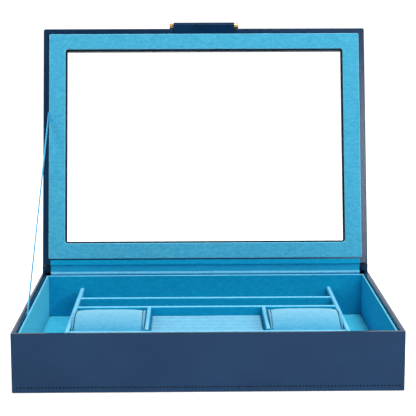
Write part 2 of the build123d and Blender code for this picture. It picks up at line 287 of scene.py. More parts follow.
def rod(name, radius, across, centre, vertices):
    """A cylinder that lies across the box."""
    return primitive("cylinder", name, vertices=vertices, radius=radius, depth=across, location=centre,
                     rotation=(0, math.radians(90), 0))


def open_mesh(obj):
    """Open an object's mesh for editing."""
    activate(obj)
    bpy.ops.object.mode_set(mode="EDIT")


def turn_out():
    """Turn all faces of the open mesh outwards and close it."""
    bpy.ops.mesh.select_all(action="SELECT")
    bpy.ops.mesh.normals_make_consistent(inside=False)
    bpy.ops.object.mode_set(mode="OBJECT")


def close_mesh(obj, angle=40):
    """Merge doubles, turn the faces outwards and smooth all but the sharp edges."""
    bpy.ops.mesh.select_all(action="SELECT")
    bpy.ops.mesh.remove_doubles(threshold=MERGE)
    turn_out()
    smooth(obj, angle)


def smooth(obj, angle):
    """Smooth all but the sharp edges, and let the large faces stay flat beside their rounded edges."""
    activate(obj)
    bpy.ops.object.shade_smooth_by_angle(angle=math.radians(angle))
    modify(obj, "WEIGHTED_NORMAL", mode="FACE_AREA", weight=100, keep_sharp=True)


def middle(item):
    """The middle of a vertex, edge or face."""
    if isinstance(item, bmesh.types.BMVert):
        return item.co
    if isinstance(item, bmesh.types.BMEdge):
        return (item.verts[0].co + item.verts[1].co) / 2
    return item.calc_center_median()


def pick(kind, test):
    """Select the vertices, edges or faces of the open mesh that pass a test of each one and its middle."""
    mesh = bpy.context.edit_object.data
    bpy.ops.mesh.select_mode(type=kind)
    bpy.ops.mesh.select_all(action="DESELECT")
    shape = bmesh.from_edit_mesh(mesh)
    shape.normal_update()
    items = {"VERT": shape.verts, "EDGE": shape.edges, "FACE": shape.faces}[kind]
    found = [item for item in items if test(item, middle(item))]
    if not found:
        raise RuntimeError(f"nothing to shape on {bpy.context.edit_object.name}")
    for item in found:
        item.select_set(True)
    shape.select_flush_mode()
    bmesh.update_edit_mesh(mesh)


def cut(axis, *places):
    """Cut the open mesh across an axis at each place."""
    for place in places:
        at, normal = Vector(), Vector()
        at[axis] = place
        normal[axis] = 1
        bpy.ops.mesh.select_all(action="SELECT")
        bpy.ops.mesh.bisect(plane_co=at, plane_no=normal)


def extrude(offset):
    """Extrude what is selected by an offset."""
    bpy.ops.mesh.extrude_region_move(TRANSFORM_OT_translate={"value": offset})


def push(test, offset):
    """Extrude the faces that pass a test by an offset."""
    pick("FACE", test)
    extrude(offset)


def pierce(test):
    """Delete two facing sets of faces and join their edges by walls."""
    pick("FACE", test)
    bpy.ops.mesh.delete(type="FACE")
    pick("EDGE", lambda edge, at: edge.is_boundary)
    bpy.ops.mesh.bridge_edge_loops()


def round_edges(test, radius, segments=3):
    """Round the edges that pass a test."""
    pick("EDGE", test)
    bpy.ops.mesh.bevel(offset=radius, segments=segments, profile=0.5, affect="EDGES", clamp_overlap=True)


def sharp(edge):
    """Whether an edge is a corner between two faces."""
    return edge.is_manifold and edge.calc_face_angle(0) > CORNER


def along(edge, axis):
    """Whether an edge runs along an axis."""
    run = edge.verts[1].co - edge.verts[0].co
    return abs(run[axis]) > 0.99 * run.length


def level(value, *places):
    """Whether a value is at one of some places."""
    return any(abs(value - place) < SAME_PLACE for place in places)


def join(name, pieces):
    """Join several objects into one."""
    activate(*pieces)
    if len(pieces) > 1:
        bpy.ops.object.join()
    return named(name)


def modify(obj, kind, **values):
    """Add a modifier with its values and apply it."""
    activate(obj)
    made = obj.modifiers.new(kind.title(), kind)
    for key, value in values.items():
        setattr(made, key, value)
    bpy.ops.object.modifier_apply(modifier=made.name)


def place_on_lid(obj):
    """Carry a piece that was modelled in the lid's own axes to the open lid."""
    obj.matrix_world = LID_PLACE @ obj.matrix_world
    apply_place(obj)


def lid_point(x, along_lid, depth):
    """A place on the lid as a point of the frame."""
    return LID_PLACE @ Vector((x, along_lid, depth))


def lid_box(node):
    """The lowest and highest corners of a CAD node in the lid's own axes."""
    back = LID_PLACE.inverted()
    points = [back @ vertex.co for vertex in frame["nodes"][node].data.vertices]
    return tuple(Vector(end(point[axis] for point in points) for axis in range(3)) for end in (min, max))


def gaps(line):
    """Each pair of neighbours in a line of points."""
    return zip(line, line[1:])


def cover(obj, name):
    """Give an object one finish."""
    obj.data.materials.clear()
    obj.data.materials.append(finish(name))


def paint(obj, name, test):
    """Give the faces of a dressed piece that pass a test another finish."""
    obj.data.materials.append(finish(name))
    for face in obj.data.polygons:
        if test(face, face.center):
            face.material_index = len(obj.data.materials) - 1


def dress(obj, name, body, slot, *nodes):
    """Give a finished piece its material, its body and the CAD nodes it stands for; the slot argument is
    not used.
    """
    cover(obj, name)
    if nodes:
        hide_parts(*nodes)
    if body:
        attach(obj, body)


# Materials


def add_node(tree, kind, inputs=None, stops=(), **values):
    """Add a shader node with its settings, its ramp's stops, its input values and its links."""
    made = tree.nodes.new(f"ShaderNode{kind}")
    for key, value in values.items():
        setattr(made, key, value)
    for index, (position, tone) in enumerate(stops):
        made.color_ramp.elements[index].position = position
        made.color_ramp.elements[index].color = (*tone, 1)
    for key, value in (inputs or {}).items():
        if isinstance(value, bpy.types.Node):
            value = value.outputs[0]
        if isinstance(value, bpy.types.NodeSocket):
            tree.links.new(value, made.inputs[key])
        else:
            made.inputs[key].default_value = value
    return made


def per(millimetres):
    """The scale of a texture whose pattern repeats after this length."""
    return 1 / (millimetres * MM)


def leatherette(add, place, key, shine):
    """Polyurethane on cloth: a smooth dyed coat with a fine embossed grain and a soft satin gloss."""
    # The real grain is about 0.6 mm; it is drawn at 1.5 mm so that it shows
    grain = add("TexVoronoi", {"Vector": place, "Scale": per(1.5), "Randomness": 1.0}, feature="SMOOTH_F1")
    cloud = add("TexNoise", {"Vector": place, "Scale": per(35), "Detail": 5.0})
    pores = add("TexNoise", {"Vector": place, "Scale": per(2.5), "Detail": 6.0})
    mild = add("Math", {0: pores, 1: 0.2}, operation="MULTIPLY")
    tone = add("Math", {0: cloud, 1: 0.8, 2: mild}, operation="MULTIPLY_ADD")
    bump = add("Bump", {"Height": grain, "Strength": 0.14, "Distance": 0.15 * MM})
    return {
        "Base Color": add("ValToRGB", {"Fac": tone}, tones(key)),
        "Roughness": add("MapRange", {"Value": pores, "To Min": 0.2, "To Max": 0.27}),
        "Normal": add("Bump", {"Height": pores, "Strength": 0.06, "Distance": 0.2 * MM, "Normal": bump}),
        "IOR": 1.5,
        "Specular IOR Level": shine,
        "Specular Tint": (*linear("#E6F2FF"), 1),
    }


def suede(add, place, key, crest=None):
    """Microfibre on card: a short brushed nap, mottled where it lies both ways, with a soft sheen."""
    stroke = add("Mapping", {"Vector": place, "Scale": (0.5, 0.5, 1.0)})
    brushed = add("TexNoise", {"Vector": stroke, "Scale": per(2.4), "Detail": 6.0, "Roughness": 0.65})
    # The fibres are about 0.1 mm thick; their tufts are drawn at 1.1 mm so that they show
    tufts = add("TexNoise", {"Vector": place, "Scale": per(1.1), "Detail": 4.0, "Roughness": 0.7})
    soft = add("Math", {0: tufts, 1: 0.5}, operation="MULTIPLY")
    tone = add("Math", {0: brushed, 1: 0.5, 2: soft}, operation="MULTIPLY_ADD")
    shade = add("ValToRGB", {"Fac": tone}, tones(key, 0.36, 0.64))
    # Painted highlight: a paler tone mixed in along one axis, up to the crests
    if crest:
        axis, low, high = crest
        pale = add("ValToRGB", {"Fac": tone}, tones("crest", 0.36, 0.64))
        parts = add("SeparateXYZ", {"Vector": place})
        rise = add("MapRange", {"Value": parts.outputs[axis], "From Min": low * MM, "From Max": high * MM})
        shade = add("MixRGB", {"Fac": rise, "Color1": shade, "Color2": pale})
    return {
        "Base Color": shade,
        "Normal": add("Bump", {"Height": tufts, "Strength": 0.3, "Distance": 0.3 * MM}),
        "Roughness": 0.95,
        "Specular IOR Level": 0.05,
        "Sheen Weight": 0.05,
        "Sheen Roughness": 0.35,
        "Sheen Tint": (*linear("#BFE8F8"), 1),
    }


def ribbed(add, place, key, spacing, roughness):
    """Woven polyester: even ribs across the cloth, a little brighter on each rib."""
    # A wave's bands repeat after a tenth of pi at a scale of one
    wave = {"Vector": place, "Scale": per(spacing) * math.pi / 10, "Distortion": 0.4, "Detail": 2.0}
    across = add("TexWave", wave, bands_direction="X").outputs["Fac"]
    down = add("TexWave", wave, bands_direction="Z").outputs["Fac"]
    weave = add("Math", {0: across, 1: down}, operation="MAXIMUM")
    return {
        "Base Color": add("ValToRGB", {"Fac": weave}, tones(key, 0.2, 0.9)),
        "Normal": add("Bump", {"Height": weave, "Strength": 0.3, "Distance": 0.15 * MM}),
        "Roughness": roughness,
        "Specular IOR Level": 0.1,
        "Sheen Weight": 0.03,
        "Sheen Tint": (*linear("#8FD3F0"), 1),
    }


def fibrous(add, place, key, fibre, roughness):
    """Pressed or twisted fibres: short flecks in two tones with no gloss."""
    flecks = add("TexNoise", {"Vector": place, "Scale": per(fibre), "Detail": 7.0, "Roughness": 0.75,
                              "Distortion": 1.2})
    return {
        "Base Color": add("ValToRGB", {"Fac": flecks}, tones(key, 0.35, 0.65)),
        "Normal": add("Bump", {"Height": flecks, "Strength": 0.35, "Distance": 0.3 * MM}),
        "Roughness": roughness,
        "Specular IOR Level": 0.05,
    }


def brass(add, place):
    """Turned and polished brass under clear lacquer: bright bands with faint dulling."""
    dull = add("TexNoise", {"Vector": place, "Scale": per(6), "Detail": 5.0})
    return {
        "Base Color": add("ValToRGB", {"Fac": dull}, tones("brass", 0.3, 0.55)),
        "Roughness": add("MapRange", {"Value": dull, "To Min": 0.26, "To Max": 0.4}),
        "Metallic": 1.0,
    }


def glass(add, place):
    """Clear float glass, with the faintest smear."""
    smear = add("TexNoise", {"Vector": place, "Scale": per(60), "Detail": 3.0})
    return {
        "Base Color": (*linear("#FAFDFC"), 1),
        "Roughness": add("MapRange", {"Value": smear, "To Min": 0.0, "To Max": 0.015}),
        "Transmission Weight": 1.0,
        "IOR": 1.45,
        "Specular IOR Level": 0.1,
    }


def paper(add, place):
    """Matt white paper that keeps a soft shadow and is white to the eye."""
    fibres = add("TexNoise", {"Vector": place, "Scale": per(4), "Detail": 4.0})
    path = add("LightPath").outputs
    seen = add("Math", {0: path["Is Camera Ray"], 1: path["Is Transmission Ray"]}, operation="MAXIMUM")
    # Near the box the paper is left to the lamps and keeps the shadow; farther off it is plain white
    reach = add("VectorMath", {0: place}, operation="LENGTH").outputs["Value"]
    glow = add("MapRange", {"Value": reach, "From Min": 0.25, "From Max": 1.2, "To Min": 0.72})
    return {
        "Base Color": add("ValToRGB", {"Fac": fibres}, tones("paper")),
        "Roughness": 0.95,
        "Specular IOR Level": 0.0,
        "Emission Color": (1, 1, 1, 1),
        "Emission Strength": add("Math", {0: seen, 1: glow}, operation="MULTIPLY"),
    }


# Each material with the function that makes it and that function's values
FINISHES = {
    "polyurethane_leatherette": (leatherette, "leather", 0.29),
    # A darker, glossier copy on the lid; its darker colour is painted shade
    "polyurethane_leatherette_taut": (leatherette, "lid_leather", 0.46),
    # A darker, matt copy as painted shade, on the pull, the lid's lip and the case's rim and foot
    "polyurethane_leatherette_worn": (leatherette, "lid_leather", 0.1),
    "microfibre_suede": (suede, "suede"),
    # A paler copy on the lid's panel, its paleness painted light
    "microfibre_suede_brushed": (suede, "lid"),
    # A paler copy on rounded edges and on faces that face up: painted highlight
    "microfibre_suede_folded": (suede, "edge"),
    # A paler copy on the right lining: painted light
    "microfibre_suede_raised": (suede, "raised"),
    # A paler copy on the trays' floors and the left lining: painted light
    "microfibre_suede_laid": (suede, "tray"),
    # Painted highlight: paler towards the back of the cuffs and up to the crests of the rolls
    "microfibre_suede_cuff": (suede, "pad", ("Y", -54, 6)),
    "microfibre_suede_roll": (suede, "pad", ("Z", 19, 37)),
    "woven_polyester": (ribbed, "cloth", 1.2, 0.8),
    "satin_ribbon": (ribbed, "ribbon", 0.9, 0.5),
    "wood_fibreboard": (fibrous, "board", 1.6, 0.85),
    "pressed_felt": (fibrous, "felt", 1.3, 0.95),
    "polyester_thread": (fibrous, "thread", 0.8, 0.7),
    "polished_brass": (brass,),
    "float_glass": (glass,),
    "studio_paper": (paper,),
}


def finish(name):
    """The material of this name, which is made when it is first asked for."""
    if name in bpy.data.materials:
        return bpy.data.materials[name]
    build, *values = FINISHES[name]
    material = bpy.data.materials.new(name)
    material.use_nodes = True
    material.node_tree.nodes.clear()
    add = partial(add_node, material.node_tree)
    place = add("TexCoord").outputs["Object"]
    shader = add("BsdfPrincipled", build(add, place, *values))
    add("OutputMaterial", {"Surface": shader})
    return material


# Stage


class JEWELBOX_OT_stage(bpy.types.Operator):
    """Add the floor, the light and the camera"""

    bl_idname = "jewel_box.stage"
    bl_label = "Stage"

    def execute(self, context):
        floor = primitive("plane", "studio_floor", size=120, location=(0, 0, 0))
        cover(floor, "studio_paper")
        self.add_world(context.scene)
        self.add_lights()
        self.add_camera(context.scene)
        context.scene.view_settings.view_transform = "Standard"
        return {"FINISHED"}

    def add_world(self, scene):
        """White to the eye, and brighter from behind and above the box than from the front."""
        world = bpy.data.worlds.new("studio_world")
        scene.world = world
        world.use_nodes = True
        world.node_tree.nodes.clear()
        add = partial(add_node, world.node_tree)
        direction = add("TexCoord").outputs["Generated"]
        parts = add("SeparateXYZ", {"Vector": direction}).outputs
        back = add("MapRange", {"Value": parts["Y"], "From Min": -0.1, "From Max": 0.4, "To Min": 0.12})
        above = add("MapRange", {"Value": parts["Z"], "From Min": 0.5, "From Max": 0.9, "To Min": 0.12})
        bright = add("Math", {0: back, 1: above}, operation="MAXIMUM")
        lit = add("Math", {0: bright, 1: settings().world_level}, operation="MULTIPLY")
        path = add("LightPath").outputs
        seen = add("Math", {0: path["Is Camera Ray"], 1: path["Is Transmission Ray"]}, operation="MAXIMUM")
        mirrored = add("Math", {0: path["Is Glossy Ray"], 1: back}, operation="MULTIPLY")
        shown = add("Math", {0: seen, 1: mirrored}, operation="MAXIMUM")
        strength = add("Math", {0: shown, 1: lit}, operation="MAXIMUM")
        sky = add("Background", {"Color": (1, 1, 1, 1), "Strength": strength})
        add("OutputWorld", {"Surface": sky})

    def add_lights(self):
        """A high key softbox, one at each side, and a low strip beside the camera."""
        aim = Vector((0, 0.05, 0.12))
        lamps = (
            ("key_softbox", (0.43, -0.46, 2.0), (0.73, 0.73), settings().key_power),
            ("strip_softbox", (0.415, -1.1, 0.58), (0.16, 0.4), settings().strip_power),
            ("side_softbox", (1.0, -0.55, 0.75), (0.45, 0.45), settings().side_power),
            ("fill_softbox", (-1.0, -0.55, 0.8), (0.6, 0.6), settings().fill_power),
        )
        for name, place, (width, height), power in lamps:
            lamp = bpy.data.lights.new(name, "AREA")
            lamp.shape = "RECTANGLE"
            lamp.size = width
            lamp.size_y = height
            lamp.energy = power
            holder = link(name, lamp)
            holder.location = place
            holder.rotation_euler = (aim - Vector(place)).to_track_quat("-Z", "Y").to_euler()

    def add_camera(self, scene):
        """The photograph's viewpoint."""
        lens = bpy.data.cameras.new("camera")
        lens.sensor_fit = "HORIZONTAL"
        lens.sensor_width = 36
        lens.lens = settings().camera_lens
        lens.clip_start = 0.01
        lens.clip_end = 100
        camera = link("camera", lens)
        camera.location = settings().camera_place
        turn = Euler((math.radians(90) - settings().camera_pitch, 0, -settings().camera_yaw)).to_matrix()
        camera.rotation_euler = (turn @ Matrix.Rotation(-settings().camera_roll, 3, "Z")).to_euler()
        scene.camera = camera


# Case


class JEWELBOX_OT_case(bpy.types.Operator):
    """Wrap the case in leatherette, sew its seam and finish its boards and felt"""

    bl_idname = "jewel_box.case"
    bl_label = "Case"

    def execute(self, context):
        self.wrap()
        self.sew()
        for node, obj in frame["nodes"].items():
            if node.endswith(("_board", "_rail")):
                cover(obj, "wood_fibreboard")
        cover(frame["nodes"]["base_felt"], "pressed_felt")
        return {"FINISHED"}

    def wrap(self):
        """One skin over the walls, the rim and the spine, with a darker, matt copy as painted shade on
        part of the rim and along the foot.
        """
        s = sizes()
        low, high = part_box("case_wrap")
        outer_x, outer_y = high[0], high[1]
        rim = s.rim_height
        inner_x = outer_x - s.wall
        front = low[1] + s.wall
        spine = outer_y - s.spine
        rear = spine - s.ledge_depth
        return_x = outer_x - s.spine_return
        rubbed_x = outer_x - s.side_sheen
        rubbed_front = low[1] + s.front_rub
        seam = s.stitch_height
        groove = 0.7 * MM
        groove_wall = 0.25 * MM
        groove_depth = 0.05 * MM

        def outside(at):
            """Whether a place is on the outer walls or their corners."""
            return abs(at.x) > outer_x - s.case_corner or abs(at.y) > outer_y - s.case_corner

        skin = block("case_leather", low, (outer_x, outer_y, rim))
        open_mesh(skin)
        cut(0, -inner_x, inner_x, -return_x, return_x, -rubbed_x, rubbed_x)
        cut(1, front, rear, spine, rubbed_front)
        push(lambda face, at: face.normal.z > 0.9 and at.y > spine, (0, 0, high[2] - rim))
        push(lambda face, at: face.normal.y < -0.9 and at.z > rim and abs(at.x) > return_x,
             (0, -s.spine_cover, 0))
        push(lambda face, at: face.normal.z > 0.9 and level(at.z, rim) and abs(at.x) < inner_x
             and rear < at.y < spine - s.spine_cover, (0, 0, -s.ledge_drop))
        pierce(lambda face, at: abs(face.normal.z) > 0.9 and abs(at.x) < inner_x and front < at.y < rear)
        round_edges(lambda edge, at: along(edge, 2) and abs(at.x) > outer_x - MM
                    and abs(at.y) > outer_y - MM, s.case_corner, 5)
        round_edges(lambda edge, at: sharp(edge) and not along(edge, 2) and outside(at)
                    and level(at.z, rim, high[2], low[2]), s.leather_edge)
        round_edges(lambda edge, at: sharp(edge) and level(at.z, rim) and low[1] + MM < at.y < rear
                    and abs(at.x) < outer_x - MM, s.leather_edge / 2, 2)
        cut(2, seam - groove, seam + groove)
        pick("FACE", lambda face, at: abs(face.normal.z) < 0.1 and outside(at)
             and abs(at.z - seam) < groove)
        bpy.ops.mesh.inset(thickness=groove_wall, depth=-groove_depth, use_even_offset=True)
        close_mesh(skin)
        dress(skin, "polyurethane_leatherette", "case", "leatherette", "case_wrap")
        # Painted shade: the foot's edge, the front rim's outer part and the side rims' inner part take the
        # darker, matt copy of the leather
        paint(skin, "polyurethane_leatherette_worn", lambda face, at: abs(face.normal.z) > 0.2 and (
            at.z < low[2] + s.leather_edge or at.z > rim - s.leather_edge and (
                at.y < rubbed_front or inner_x - s.leather_edge < abs(at.x) < rubbed_x)))

    def sew(self):
        """A row of stitches round the foot of the case, in one groove."""
        s = sizes()
        low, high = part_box("case_wrap")
        sunk = 0.12 * MM
        stitch_share = 0.27
        rows = []
        for axis, side in ((0, -1), (0, 1), (1, -1), (1, 1)):
            other = 1 - axis
            count = int((high[axis] - low[axis] - 2 * s.case_corner) / s.stitch_pitch)
            place = Vector((0, 0, s.stitch_height))
            place[axis] = -(count - 1) * s.stitch_pitch / 2
            place[other] = side * (high[other] - sunk)
            stitch = Vector((0.45, 0.45, 0.65)) * MM
            stitch[axis] = s.stitch_pitch * stitch_share
            row = primitive("uv_sphere", "stitch_row", stitch, segments=8, ring_count=6, radius=1,
                            location=place)
            offset = [0, 0, 0]
            offset[axis] = s.stitch_pitch
            modify(row, "ARRAY", count=count, use_relative_offset=False, use_constant_offset=True,
                   constant_offset_displace=offset)
            rows.append(row)
        stitches = join("case_stitches", rows)
        bpy.ops.object.shade_smooth()
        dress(stitches, "polyester_thread", "case", "leatherette")


# Linings and dividers


def suede_board(node, radius, segments, parted, name="microfibre_suede", lower=0):
    """A suede-covered board in a CAD node's box, with a painted highlight on its rounded top and on the
    faces that face up.
    """
    low, high = (Vector(corner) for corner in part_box(node))
    high.z -= lower
    board = block(f"{node.removesuffix('_lining')}_suede", low, high)
    size = high - low
    run = 0 if size.x > size.y else 1
    open_mesh(board)
    round_edges(lambda edge, at: along(edge, run) and level(at.z, high.z), radius, segments)
    close_mesh(board, 60)
    dress(board, name, "case", "suede", node)
    paint(board, "microfibre_suede_folded", lambda face, at: face.normal.z > parted)


class JEWELBOX_OT_linings(bpy.types.Operator):
    """Line the walls and the floor with suede panels"""

    bl_idname = "jewel_box.linings"
    bl_label = "Linings"

    def execute(self, context):
        # Each lining with the slope above which its faces take the painted highlight; the left and right
        # linings take paler copies of the suede, painted light
        for side, parted, name in (
                ("front", 0.2, "microfibre_suede"), ("rear", 0.2, "microfibre_suede"),
                ("left", 0.8, "microfibre_suede_laid"), ("right", 0.8, "microfibre_suede_raised")):
            suede_board(f"{side}_lining", sizes().card_edge, 4, parted, name)
        self.lay_floor()
        return {"FINISHED"}

    def lay_floor(self):
        """One card with a soft-edged cover in each tray."""
        low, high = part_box("floor_lining")
        top = high[2]
        soft = sizes().tray_cover
        gap = sizes().tray_gap
        pieces = [block("floor_suede", low, (high[0], high[1], top - soft))]
        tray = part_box("left_divider")
        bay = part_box("front_divider")
        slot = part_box("front_slot_divider")
        rear_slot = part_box("rear_slot_divider")
        front_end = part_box("front_lining")[1][1]
        rear_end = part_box("rear_lining")[0][1]
        side_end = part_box("left_lining")[1][0]
        inner = tray[1][0]
        areas = (
            (side_end, tray[0][0], front_end, rear_end),
            (-tray[0][0], -side_end, front_end, rear_end),
            (inner, -inner, front_end, bay[0][1]),
            (inner, -inner, bay[1][1], slot[0][1]),
            (inner, -inner, slot[1][1], rear_slot[0][1]),
            (inner, -inner, rear_slot[1][1], rear_end),
        )
        for x_low, x_high, y_low, y_high in areas:
            cloth = block("tray_cover", (x_low + gap, y_low + gap, top - 1.5 * soft),
                          (x_high - gap, y_high - gap, top))
            open_mesh(cloth)
            round_edges(lambda edge, at: level(at.z, top), soft, 4)
            close_mesh(cloth, 60)
            pieces.append(cloth)
        floor = join("floor_suede", pieces)
        # The floor takes the paler copy of the suede: painted light
        dress(floor, "microfibre_suede_laid", "case", "suede", "floor_lining")


class JEWELBOX_OT_dividers(bpy.types.Operator):
    """Stand the suede dividers between the trays"""

    bl_idname = "jewel_box.dividers"
    bl_label = "Dividers"

    def execute(self, context):
        for node in sorted(frame["nodes"]):
            if node.endswith("divider"):
                lower = sizes().front_drop if node == "front_divider" else 0
                # Painted highlight on faces that face up more than this
                parted = 0.1 if node in ("left_divider", "right_divider") else 0.6
                suede_board(node, sizes().divider_edge, 5, parted, lower=lower)
        return {"FINISHED"}


# Pads


class JEWELBOX_OT_ring_rolls(bpy.types.Operator):
    """Fill the middle bay with stuffed ring rolls"""

    bl_idname = "jewel_box.ring_rolls"
    bl_label = "Ring rolls"

    def execute(self, context):
        low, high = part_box("ring_rolls")
        count = sizes().roll_count
        pitch = (high[1] - low[1]) / count
        radius = pitch / 2
        axis_z = high[2] - radius
        across = high[0] - low[0]
        parts = 10
        end_round = 2.4 * MM
        unevenness = 0.07 * MM
        inset = Vector((0.6, 0.3, 0)) * MM
        pieces = [block("ring_roll_pad", Vector(low) + inset,
                        Vector((high[0], high[1], axis_z - 1.5 * MM)) - inset)]
        first = rod("ring_roll", radius, across, (0, 0, 0), 36)
        open_mesh(first)
        round_edges(lambda edge, at: sharp(edge) and not along(edge, 0), end_round, 5)
        cut(0, *[low[0] + across * step / parts for step in range(1, parts)])
        close_mesh(first, 70)
        for turn in range(count):
            activate(first)
            bpy.ops.object.duplicate(linked=False)
            roll = bpy.context.object
            roll.location = (0, low[1] + (turn + 0.5) * pitch, axis_z)
            apply_place(roll)
            for vertex in roll.data.vertices:
                x = vertex.co.x / MM
                vertex.co.z += unevenness * (math.sin(x / 9 + 2.1 * turn) + math.sin(x / 23 - turn))
            pieces.append(roll)
        bpy.data.objects.remove(first)
        pad = join("ring_roll_pad", pieces)
        # The rolls are paler towards their crests: painted highlight
        dress(pad, "microfibre_suede_roll", "case", "padded_suede", "ring_rolls")
        return {"FINISHED"}


class JEWELBOX_OT_cuffs(bpy.types.Operator):
    """Stuff the two watch cuffs and sew their ends"""

    bl_idname = "jewel_box.cuffs"
    bl_label = "Watch cuffs"

    def execute(self, context):
        for node in ("left_cuff", "right_cuff"):
            pad = self.stuff(node)
            self.pipe(node)
            # The cuffs are paler towards their backs: painted highlight
            dress(pad, "microfibre_suede_cuff", node, "padded_suede", node)
        return {"FINISHED"}

    def copy_node(self, node, name):
        """A copy of a CAD node's mesh as an object of its own, with its doubles merged."""
        mesh = frame["nodes"][node].data.copy()
        mesh.name = name
        obj = link(name, mesh)
        open_mesh(obj)
        bpy.ops.mesh.select_all(action="SELECT")
        bpy.ops.mesh.remove_doubles(threshold=2 * MERGE)
        bpy.ops.object.mode_set(mode="OBJECT")
        return obj

    def stuff(self, node):
        """Swell the cuff's cover from a slightly smaller shape and hold its sewn ends."""
        low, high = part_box(node)
        centre = (Vector(low) + Vector(high)) / 2
        pad = self.copy_node(node, f"{node}_pad")
        modify(pad, "REMESH", mode="VOXEL", voxel_size=sizes().cuff_voxel, adaptivity=0)
        shrink = Vector((1.0, 0.985, 0.985))
        for vertex in pad.data.vertices:
            vertex.co = centre + (vertex.co - centre) * shrink
        self.swell(pad, low, high)
        modify(pad, "SUBSURF", levels=1, render_levels=1)
        activate(pad)
        bpy.ops.object.shade_smooth()
        return pad

    def swell(self, pad, low, high):
        """Cloth under a little pressure, with each point's move capped."""
        most = sizes().cuff_swell
        end = 2.6 * MM
        foot = 2.0 * MM
        before = [vertex.co.copy() for vertex in pad.data.vertices]
        held = pad.vertex_groups.new(name="sewn_ends")
        held.add([vertex.index for vertex in pad.data.vertices
                  if not low[0] + end <= vertex.co.x <= high[0] - end or vertex.co.z < low[2] + foot],
                 1.0, "REPLACE")
        activate(pad)
        cloth = pad.modifiers.new("Cloth", "CLOTH")
        cloth.settings.vertex_group_mass = held.name
        cloth.settings.use_pressure = True
        cloth.settings.uniform_pressure_force = 4.0
        cloth.settings.effector_weights.gravity = 0
        cloth.settings.tension_stiffness = 25
        cloth.settings.bending_stiffness = 2
        scene = bpy.context.scene
        for step in range(1, 21):
            scene.frame_set(step)
        bpy.ops.object.modifier_apply(modifier=cloth.name)
        scene.frame_set(1)
        pad.vertex_groups.clear()
        for vertex, start in zip(pad.data.vertices, before):
            move = vertex.co - start
            if move.length > most:
                vertex.co = start + move * (most / move.length)

    def pipe(self, node):
        """Piping round each end of the cuff, and a row of stitches beside it."""
        radius = sizes().piping
        low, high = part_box(node)
        pieces = []
        threads = []
        for end, inward in ((low[0], 1), (high[0], -1)):
            rim = self.copy_node(node, "cuff_rim")
            open_mesh(rim)
            pick("EDGE", lambda edge, at: sharp(edge)
                 and all(level(vertex.co.x, end) for vertex in edge.verts))
            bpy.ops.mesh.select_all(action="INVERT")
            bpy.ops.mesh.delete(type="EDGE")
            bpy.ops.object.mode_set(mode="OBJECT")
            for vertex in rim.data.vertices:
                vertex.co.x += inward * radius
            activate(rim)
            bpy.ops.object.convert(target="CURVE")
            outline = bpy.context.object
            outline.data.bevel_depth = radius
            outline.data.bevel_resolution = 3
            threads.append(self.stitch_ring(outline, inward))
            activate(outline)
            bpy.ops.object.convert(target="MESH")
            pieces.append(bpy.context.object)
        for name, parts, material, slot in (
                ("piping", pieces, "microfibre_suede_cuff", "padded_suede"),
                ("stitches", threads, "polyester_thread", "leatherette")):
            piece = join(f"{node}_{name}", parts)
            bpy.ops.object.shade_smooth()
            dress(piece, material, node, slot)

    def stitch_ring(self, outline, inward):
        """Stitches along an outline, set in from the piping."""
        points = [Vector(point.co[:3]) for point in outline.data.splines[0].points]
        laps = points + points[:1]
        around = sum((after - before).length for before, after in gaps(laps))
        count = int(around / sizes().cuff_stitch)
        pitch = around / count
        stitch_share = 0.34
        thread = 0.42 * MM
        made = []
        travelled, target = 0.0, 0.0
        for before, after in gaps(laps):
            run = (after - before).length
            while target < travelled + run and len(made) < count:
                direction = (after - before).normalized()
                place = before + direction * (target - travelled)
                place.x += inward * sizes().cuff_seam
                deselect()
                bpy.ops.mesh.primitive_uv_sphere_add(segments=6, ring_count=5, radius=1, location=place)
                stitch = bpy.context.object
                stitch.scale = (thread, pitch * stitch_share, thread)
                stitch.rotation_euler = (math.atan2(direction.z, direction.y), 0, 0)
                made.append(stitch)
                target += pitch
            travelled += run
        apply_place(*made)
        return join("cuff_stitches", made)


# Lid


